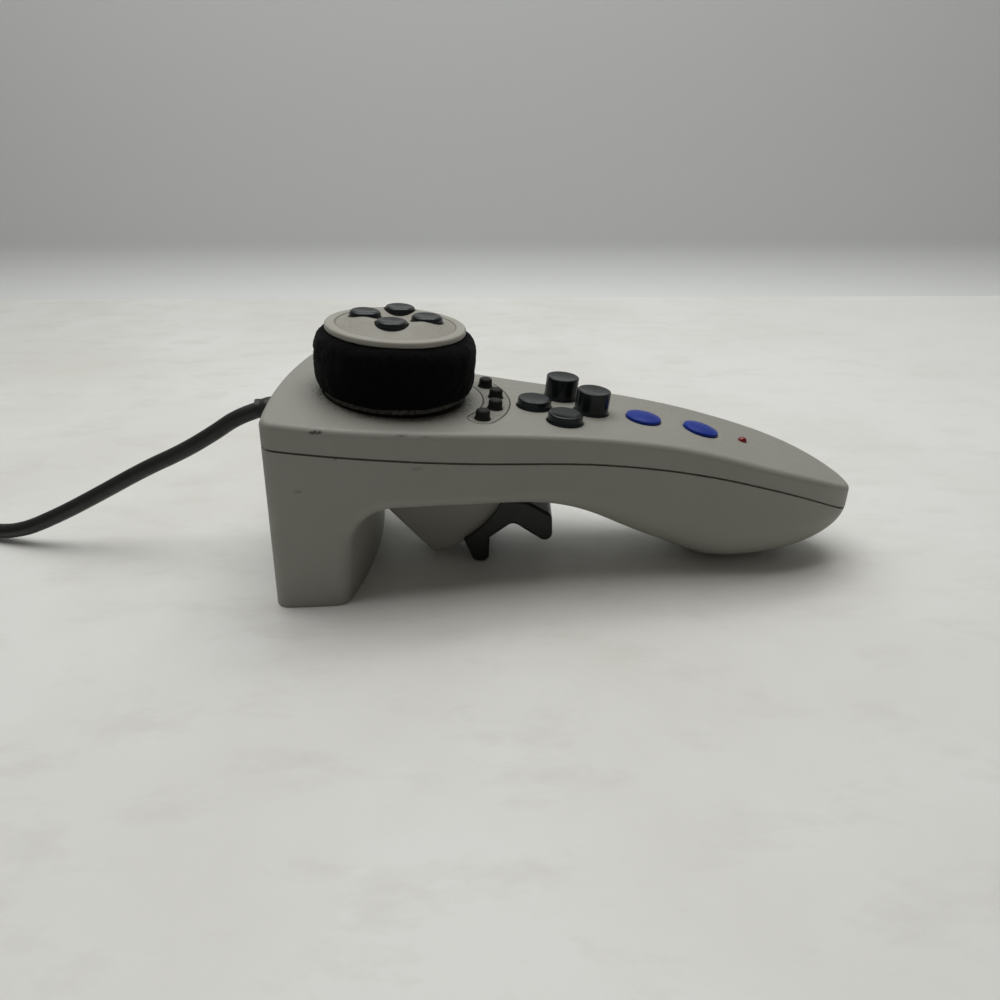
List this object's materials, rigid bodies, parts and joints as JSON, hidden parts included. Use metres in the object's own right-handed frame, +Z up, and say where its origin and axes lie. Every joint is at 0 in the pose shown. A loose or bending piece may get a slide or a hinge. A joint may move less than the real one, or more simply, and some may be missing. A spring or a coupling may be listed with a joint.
{
  "type": "one-handed racing wheel controller",
  "caption": "One-handed game controller: a small foam steering wheel on a broad leg, with face buttons along the deck, a two-way trigger below and a rounded palm end",
  "frame": {"origin": "the middle of the bottom of the box round the controller without its cable, on the surface it stands on", "axes": "+X along the controller from the cable end to the palm end, +Y across it away from the picture's camera, +Z up"},
  "size_m": [0.4262, 0.1282, 0.0922],
  "materials": {
    "casing_plastic": "fine matt moulded texture",
    "wheel_plastic": "matt, worn on the rim",
    "foam": "flocked black foam",
    "dark_button": "half gloss",
    "small_button": "matt",
    "blue_button": "half gloss",
    "trigger_plastic": "half gloss",
    "lamp": "clear red lens",
    "cable": "matt sheath",
    "tie": "matt band",
    "mat_rubber": "soft silicone",
    "circuit_board": "glass-fibre board with green lacquer",
    "board_parts": "moulded parts",
    "inner_plastic": "natural acetal",
    "pot_body": "moulded body",
    "steel": "zinc-plated",
    "lead_sheath": "thin sheath"
  },
  "bodies": {
    "casing": {"lower_housing": "casing_plastic", "upper_housing": "casing_plastic", "small_button_panel": "casing_plastic", "spindle_bush": "inner_plastic", "centring_spring": "steel", "steering_bracket": "inner_plastic", "bracket_screws": "steel", "steering_pot": "pot_body", "trigger_pot": "pot_body", "trigger_springs": "steel", "main_board": "circuit_board", "small_button_mat": "mat_rubber", "face_button_mat": "mat_rubber", "centre_button_mat": "mat_rubber", "board_screws": "steel", "board_components": "board_parts", "board_connectors": "board_parts", "power_lamp": "lamp", "casing_screws": "steel", "inner_lead": "lead_sheath", "wheel_lead": "lead_sheath", "strain_relief": "cable", "cable_lead": "cable", "cable_coil": "cable", "cable_tail": "cable", "plug_body": "cable", "plug_shell": "steel", "cable_tie": "tie"},
    "wheel": {"wheel_drum": "wheel_plastic", "foam_ring": "foam", "wheel_cap": "wheel_plastic", "wheel_board": "circuit_board", "direction_button_mat": "mat_rubber", "wheel_board_screws": "steel", "steering_gear": "inner_plastic", "spindle_clip": "steel"},
    "pinion": {"steering_pinion": "inner_plastic", "steering_pot_shaft": "steel"},
    "trigger_lever": {"trigger": "trigger_plastic", "trigger_axle": "steel"},
    "direction_left": {"direction_button_left": "dark_button"},
    "direction_right": {"direction_button_right": "dark_button"},
    "direction_near": {"direction_button_near": "dark_button"},
    "direction_far": {"direction_button_far": "dark_button"},
    "small_1": {"small_button_1": "small_button"},
    "small_2": {"small_button_2": "small_button"},
    "small_3": {"small_button_3": "small_button"},
    "small_4": {"small_button_4": "small_button"},
    "face_left": {"face_button_left": "dark_button"},
    "face_far": {"face_button_far": "dark_button"},
    "face_right": {"face_button_right": "dark_button"},
    "face_near": {"face_button_near": "dark_button"},
    "centre_1": {"centre_button_1": "blue_button"},
    "centre_2": {"centre_button_2": "blue_button"}
  },
  "joints": [
    {"name": "wheel_steer", "type": "hinge", "parent": "casing", "child": "wheel", "pos_m": [-0.0625, 0, 0.06294], "axis": [0.0879, 0, 0.9961], "range_deg": [-45, 45], "stiffness_Nm_per_rad": 0.06},
    {"name": "pinion_turn", "type": "hinge", "parent": "casing", "child": "pinion", "pos_m": [-0.08492, 0, 0.06492], "axis": [0.0879, 0, 0.9961], "range_deg": [-90, 90]},
    {"name": "trigger_swing", "type": "hinge", "parent": "casing", "child": "trigger_lever", "pos_m": [-0.0601, 0, 0.0435], "axis": [0, 1, 0], "range_deg": [-5, 10], "stiffness_Nm_per_rad": 0.08},
    {"name": "press_direction_left", "type": "slide", "parent": "wheel", "child": "direction_left", "axis": [-0.0879, 0, -0.9961], "range_m": [0, 0.001], "stiffness_N_per_m": 300},
    {"name": "press_direction_right", "type": "slide", "parent": "wheel", "child": "direction_right", "axis": [-0.0879, 0, -0.9961], "range_m": [0, 0.001], "stiffness_N_per_m": 300},
    {"name": "press_direction_near", "type": "slide", "parent": "wheel", "child": "direction_near", "axis": [-0.0879, 0, -0.9961], "range_m": [0, 0.001], "stiffness_N_per_m": 300},
    {"name": "press_direction_far", "type": "slide", "parent": "wheel", "child": "direction_far", "axis": [-0.0879, 0, -0.9961], "range_m": [0, 0.001], "stiffness_N_per_m": 300},
    {"name": "press_small_1", "type": "slide", "parent": "casing", "child": "small_1", "axis": [-0.0996, 0, -0.995], "range_m": [0, 0.001], "stiffness_N_per_m": 300},
    {"name": "press_small_2", "type": "slide", "parent": "casing", "child": "small_2", "axis": [-0.0982, 0, -0.9952], "range_m": [0, 0.001], "stiffness_N_per_m": 300},
    {"name": "press_small_3", "type": "slide", "parent": "casing", "child": "small_3", "axis": [-0.0982, 0, -0.9952], "range_m": [0, 0.001], "stiffness_N_per_m": 300},
    {"name": "press_small_4", "type": "slide", "parent": "casing", "child": "small_4", "axis": [-0.0996, 0, -0.995], "range_m": [0, 0.001], "stiffness_N_per_m": 300},
    {"name": "press_face_left", "type": "slide", "parent": "casing", "child": "face_left", "axis": [-0.0952, 0, -0.9955], "range_m": [0, 0.0015], "stiffness_N_per_m": 300},
    {"name": "press_face_far", "type": "slide", "parent": "casing", "child": "face_far", "axis": [-0.0992, 0, -0.9951], "range_m": [0, 0.0015], "stiffness_N_per_m": 300},
    {"name": "press_face_right", "type": "slide", "parent": "casing", "child": "face_right", "axis": [-0.1137, 0, -0.9935], "range_m": [0, 0.0015], "stiffness_N_per_m": 300},
    {"name": "press_face_near", "type": "slide", "parent": "casing", "child": "face_near", "axis": [-0.0992, 0, -0.9951], "range_m": [0, 0.0015], "stiffness_N_per_m": 300},
    {"name": "press_centre_1", "type": "slide", "parent": "casing", "child": "centre_1", "axis": [-0.166, 0, -0.9861], "range_m": [0, 0.001], "stiffness_N_per_m": 300},
    {"name": "press_centre_2", "type": "slide", "parent": "casing", "child": "centre_2", "axis": [-0.2484, 0, -0.9687], "range_m": [0, 0.001], "stiffness_N_per_m": 300}
  ],
  "couplings": [
    {"joint": "pinion_turn", "follows": "wheel_steer", "ratio": -2}
  ]
}
